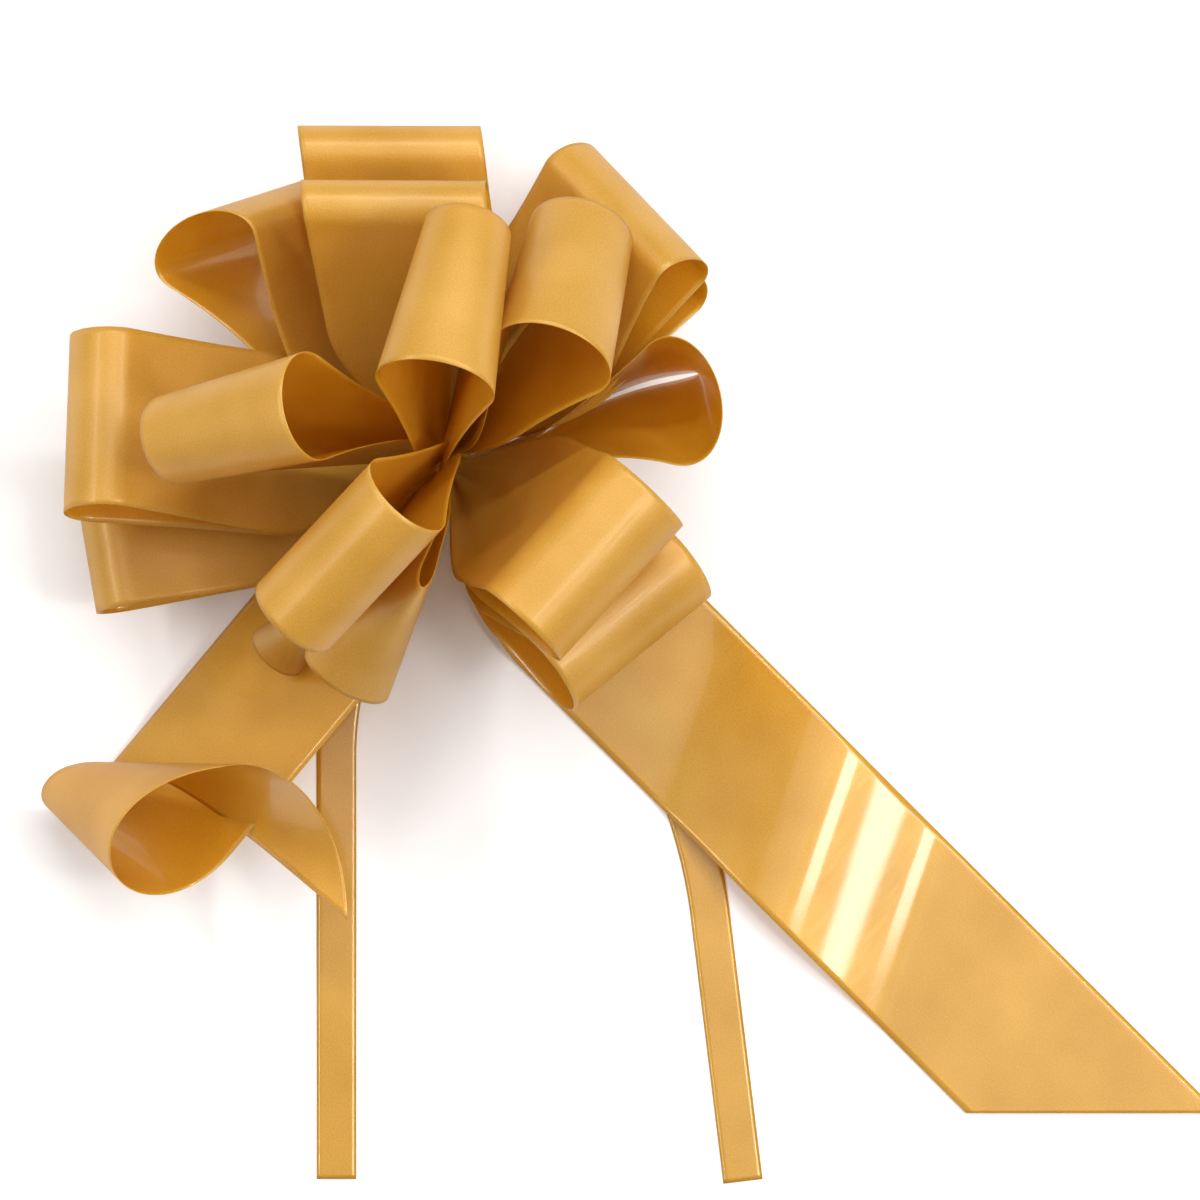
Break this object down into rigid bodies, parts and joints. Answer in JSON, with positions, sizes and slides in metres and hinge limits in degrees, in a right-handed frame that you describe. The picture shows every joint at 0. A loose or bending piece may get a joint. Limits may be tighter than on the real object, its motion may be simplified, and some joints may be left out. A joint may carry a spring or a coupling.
{
  "type": "pre-made gift bow",
  "caption": "Gold satin pull bow: rounded ribbon loops gathered and tied at the centre, with wide ribbon tails and narrow pull ribbons, made to sit on a wrapped gift.",
  "frame": {"origin": "centre of the flat underside of the tie knot, on the surface the bow rests on", "axes": "+Z out of the bow's face, away from the gift; +Y towards the upper loops; +X towards the side of the long slant-cut tail"},
  "size_m": [0.3293, 0.2994, 0.1365],
  "materials": {
    "ribbon": "satin polypropylene ribbon, pearl gold, fine brushed grain",
    "pull_ribbon": "narrow satin polypropylene ribbon, pearl gold",
    "seal": "heat-sealed ribbon, pressed flat and dull"
  },
  "bodies": {
    "core": {"neck_seal_1": "seal", "neck_seal_2": "seal", "neck_seal_3": "seal", "neck_seal_4": "seal", "neck_seal_5": "seal", "neck_seal_6": "seal", "neck_seal_7": "seal", "neck_seal_8": "seal", "neck_seal_9": "seal", "pull_stem_left": "pull_ribbon", "pull_stem_right": "pull_ribbon", "tie_knot": "pull_ribbon"},
    "loop_top_back": {"loop_top_back": "ribbon"},
    "loop_top_front": {"loop_top_front": "ribbon"},
    "loop_upper_right_low": {"loop_upper_right_low": "ribbon"},
    "loop_upper_right": {"loop_upper_right": "ribbon"},
    "loop_right_side": {"loop_right_side": "ribbon"},
    "loop_lower_right_low": {"loop_lower_right_low": "ribbon"},
    "loop_lower_right": {"loop_lower_right": "ribbon"},
    "loop_bottom": {"loop_bottom": "ribbon"},
    "loop_lower_left_low": {"loop_lower_left_low": "ribbon"},
    "loop_lower_left": {"loop_lower_left": "ribbon"},
    "loop_left_low": {"loop_left_low": "ribbon"},
    "loop_left": {"loop_left": "ribbon"},
    "loop_left_front": {"loop_left_front": "ribbon"},
    "loop_upper_left": {"loop_upper_left": "ribbon"},
    "loop_centre_up": {"loop_centre_up": "ribbon"},
    "loop_centre_right": {"loop_centre_right": "ribbon"},
    "tail_left": {"tail_left": "ribbon"},
    "tail_right": {"tail_right": "ribbon"},
    "pull_ribbon_left": {"pull_ribbon_left": "pull_ribbon"},
    "pull_ribbon_right": {"pull_ribbon_right": "pull_ribbon"}
  },
  "joints": [
    {"name": "loop_top_back_flex", "type": "hinge", "parent": "core", "child": "loop_top_back", "pos_m": [-0.00139, 0.01133, 0.02621], "axis": [0.9062, 0.2279, -0.3563], "range_deg": [-4, 2], "stiffness_Nm_per_rad": 0.05},
    {"name": "loop_top_front_flex", "type": "hinge", "parent": "core", "child": "loop_top_front", "pos_m": [-0.00171, 0.00968, 0.03188], "axis": [0.9848, 0.1736, 0], "range_deg": [-3, 3], "stiffness_Nm_per_rad": 0.05},
    {"name": "loop_upper_right_low_flex", "type": "hinge", "parent": "core", "child": "loop_upper_right_low", "pos_m": [0.00767, 0.00914, 0.01675], "axis": [0.6969, -0.6314, 0.3401], "range_deg": [-6, 4], "stiffness_Nm_per_rad": 0.05},
    {"name": "loop_upper_right_flex", "type": "hinge", "parent": "core", "child": "loop_upper_right", "pos_m": [0.00683, 0.00906, 0.02791], "axis": [0.783, -0.6185, 0.066], "range_deg": [-2, 3], "stiffness_Nm_per_rad": 0.05},
    {"name": "loop_right_side_flex", "type": "hinge", "parent": "core", "child": "loop_right_side", "pos_m": [0.01156, 0.00225, 0.02529], "axis": [-0.1589, -0.1727, 0.9721], "range_deg": [-8, 3], "stiffness_Nm_per_rad": 0.05},
    {"name": "loop_lower_right_low_flex", "type": "hinge", "parent": "core", "child": "loop_lower_right_low", "pos_m": [0.00756, -0.00681, 0.02586], "axis": [-0.7066, -0.702, 0.0886], "range_deg": [-10, 6], "stiffness_Nm_per_rad": 0.05},
    {"name": "loop_lower_right_flex", "type": "hinge", "parent": "core", "child": "loop_lower_right", "pos_m": [0.00564, -0.0038, 0.03789], "axis": [-0.5592, -0.829, 0], "range_deg": [-8, 4], "stiffness_Nm_per_rad": 0.05},
    {"name": "loop_bottom_flex", "type": "hinge", "parent": "core", "child": "loop_bottom", "pos_m": [-0.00271, -0.00788, 0.03063], "axis": [0.456, 0.5812, 0.674], "range_deg": [-3, 5], "stiffness_Nm_per_rad": 0.05},
    {"name": "loop_lower_left_low_flex", "type": "hinge", "parent": "core", "child": "loop_lower_left_low", "pos_m": [-0.00721, -0.00814, 0.02357], "axis": [0.28, 0.3165, 0.9063], "range_deg": [-8, 4], "stiffness_Nm_per_rad": 0.05},
    {"name": "loop_lower_left_flex", "type": "hinge", "parent": "core", "child": "loop_lower_left", "pos_m": [-0.00336, -0.00354, 0.04596], "axis": [0.6288, 0.6627, 0.4067], "range_deg": [-5, 4], "stiffness_Nm_per_rad": 0.05},
    {"name": "loop_left_low_flex", "type": "hinge", "parent": "core", "child": "loop_left_low", "pos_m": [-0.01181, -0.00198, 0.01984], "axis": [-0.157, 0.9821, 0.1043], "range_deg": [-6, 5], "stiffness_Nm_per_rad": 0.05},
    {"name": "loop_left_flex", "type": "hinge", "parent": "core", "child": "loop_left", "pos_m": [-0.01106, 0.00126, 0.02399], "axis": [0.087, 0.9941, -0.0647], "range_deg": [-2, 6], "stiffness_Nm_per_rad": 0.05},
    {"name": "loop_left_front_flex", "type": "hinge", "parent": "core", "child": "loop_left_front", "pos_m": [-0.00733, 0.00143, 0.03789], "axis": [0.7885, 0.1784, 0.5886], "range_deg": [-10, 4], "stiffness_Nm_per_rad": 0.05},
    {"name": "loop_upper_left_flex", "type": "hinge", "parent": "core", "child": "loop_upper_left", "pos_m": [-0.00715, 0.00949, 0.01967], "axis": [0.6658, 0.5836, -0.4649], "range_deg": [-4, 2], "stiffness_Nm_per_rad": 0.05},
    {"name": "loop_centre_up_flex", "type": "hinge", "parent": "core", "child": "loop_centre_up", "pos_m": [0.0004, 0.00571, 0.04155], "axis": [-0.1738, -0.8631, 0.4741], "range_deg": [-2, 4], "stiffness_Nm_per_rad": 0.05},
    {"name": "loop_centre_right_flex", "type": "hinge", "parent": "core", "child": "loop_centre_right", "pos_m": [0.00515, 0.00684, 0.03941], "axis": [-0.1621, -0.7148, 0.6802], "range_deg": [-8, 2], "stiffness_Nm_per_rad": 0.05},
    {"name": "tail_left_lift", "type": "hinge", "parent": "core", "child": "tail_left", "pos_m": [-0.00771, -0.00919, 0.0125], "axis": [-0.766, 0.6428, 0], "range_deg": [0, 12]},
    {"name": "tail_right_lift", "type": "hinge", "parent": "core", "child": "tail_right", "pos_m": [0.00848, -0.00848, 0.0125], "axis": [-0.7071, -0.7071, 0], "range_deg": [0, 20]},
    {"name": "pull_ribbon_left_swing", "type": "hinge", "parent": "core", "child": "pull_ribbon_left", "pos_m": [0, 0, 0], "axis": [0, 0, 1], "range_deg": [-6, 6]},
    {"name": "pull_ribbon_right_swing", "type": "hinge", "parent": "core", "child": "pull_ribbon_right", "pos_m": [0, 0, 0], "axis": [0, 0, 1], "range_deg": [-6, 6]}
  ]
}
